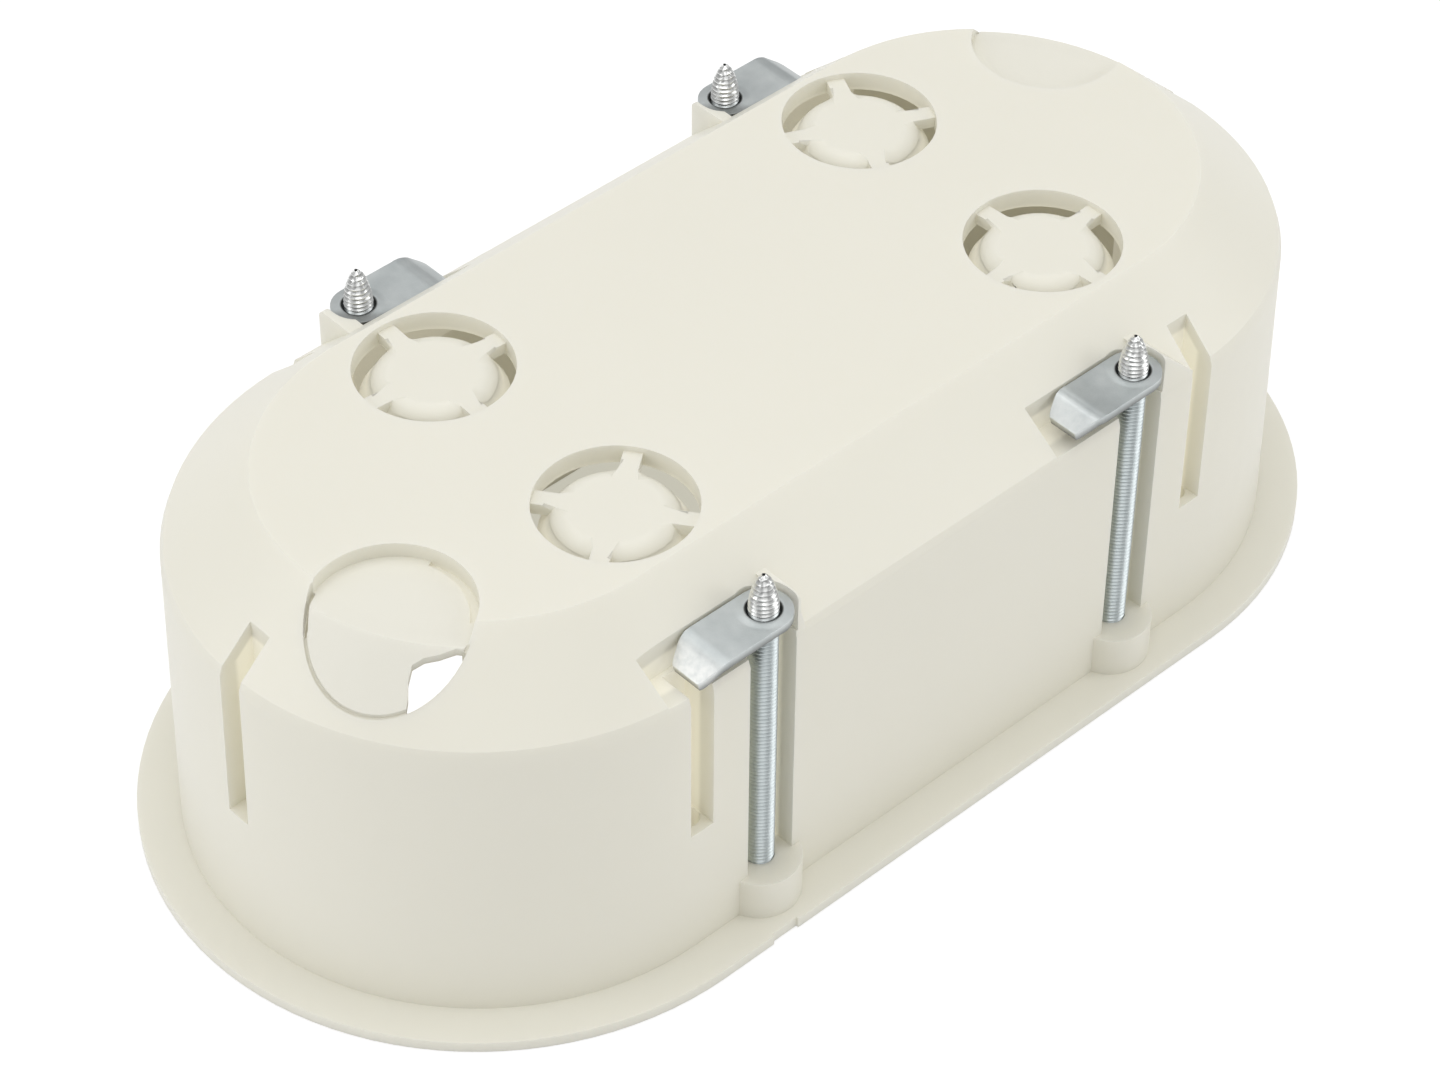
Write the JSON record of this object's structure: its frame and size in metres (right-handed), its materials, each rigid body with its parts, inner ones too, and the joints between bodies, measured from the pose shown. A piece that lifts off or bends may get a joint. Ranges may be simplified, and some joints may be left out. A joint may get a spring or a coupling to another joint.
{
  "type": "flush mounting box",
  "caption": "Stadium-shaped double flush mounting box for hollow walls, with a flange, knockouts in its back and swing-out fixing claws on long screws.",
  "frame": {"origin": "middle of the flange face that rests on the surface, mouth down", "axes": "+X along the length, +Y across towards the far long side, +Z from the mouth to the back wall"},
  "size_m": [0.1466, 0.074, 0.0459],
  "materials": {
    "moulded_plastic": "satin moulded, warm off-white",
    "zinc_screw": "bright bluish zinc plating",
    "steel_claw": "dull grey pressed steel, tumbled edges"
  },
  "bodies": {
    "box": {"box_shell": "moulded_plastic"},
    "screw_near_left": {"claw_screw_near_left": "zinc_screw"},
    "claw_near_left": {"claw_near_left": "steel_claw"},
    "screw_near_right": {"claw_screw_near_right": "zinc_screw"},
    "claw_near_right": {"claw_near_right": "steel_claw"},
    "screw_far_left": {"claw_screw_far_left": "zinc_screw"},
    "claw_far_left": {"claw_far_left": "steel_claw"},
    "screw_far_right": {"claw_screw_far_right": "zinc_screw"},
    "claw_far_right": {"claw_far_right": "steel_claw"}
  },
  "joints": [
    {"name": "screw_spin_near_left", "type": "hinge", "parent": "box", "child": "screw_near_left", "pos_m": [-0.0261, -0.0309, 0.02], "axis": [0, 0, 1], "continuous": true},
    {"name": "claw_swing_near_left", "type": "hinge", "parent": "box", "child": "claw_near_left", "pos_m": [-0.0261, -0.0309, 0.0407], "axis": [0, 0, 1], "range_deg": [0, 90]},
    {"name": "screw_spin_near_right", "type": "hinge", "parent": "box", "child": "screw_near_right", "pos_m": [0.0261, -0.0309, 0.02], "axis": [0, 0, 1], "continuous": true},
    {"name": "claw_swing_near_right", "type": "hinge", "parent": "box", "child": "claw_near_right", "pos_m": [0.0261, -0.0309, 0.0407], "axis": [0, 0, 1], "range_deg": [0, 90]},
    {"name": "screw_spin_far_left", "type": "hinge", "parent": "box", "child": "screw_far_left", "pos_m": [-0.0261, 0.0309, 0.02], "axis": [0, 0, 1], "continuous": true},
    {"name": "claw_swing_far_left", "type": "hinge", "parent": "box", "child": "claw_far_left", "pos_m": [-0.0261, 0.0309, 0.0407], "axis": [0, 0, 1], "range_deg": [0, 90]},
    {"name": "screw_spin_far_right", "type": "hinge", "parent": "box", "child": "screw_far_right", "pos_m": [0.0261, 0.0309, 0.02], "axis": [0, 0, 1], "continuous": true},
    {"name": "claw_swing_far_right", "type": "hinge", "parent": "box", "child": "claw_far_right", "pos_m": [0.0261, 0.0309, 0.0407], "axis": [0, 0, 1], "range_deg": [0, 90]}
  ]
}
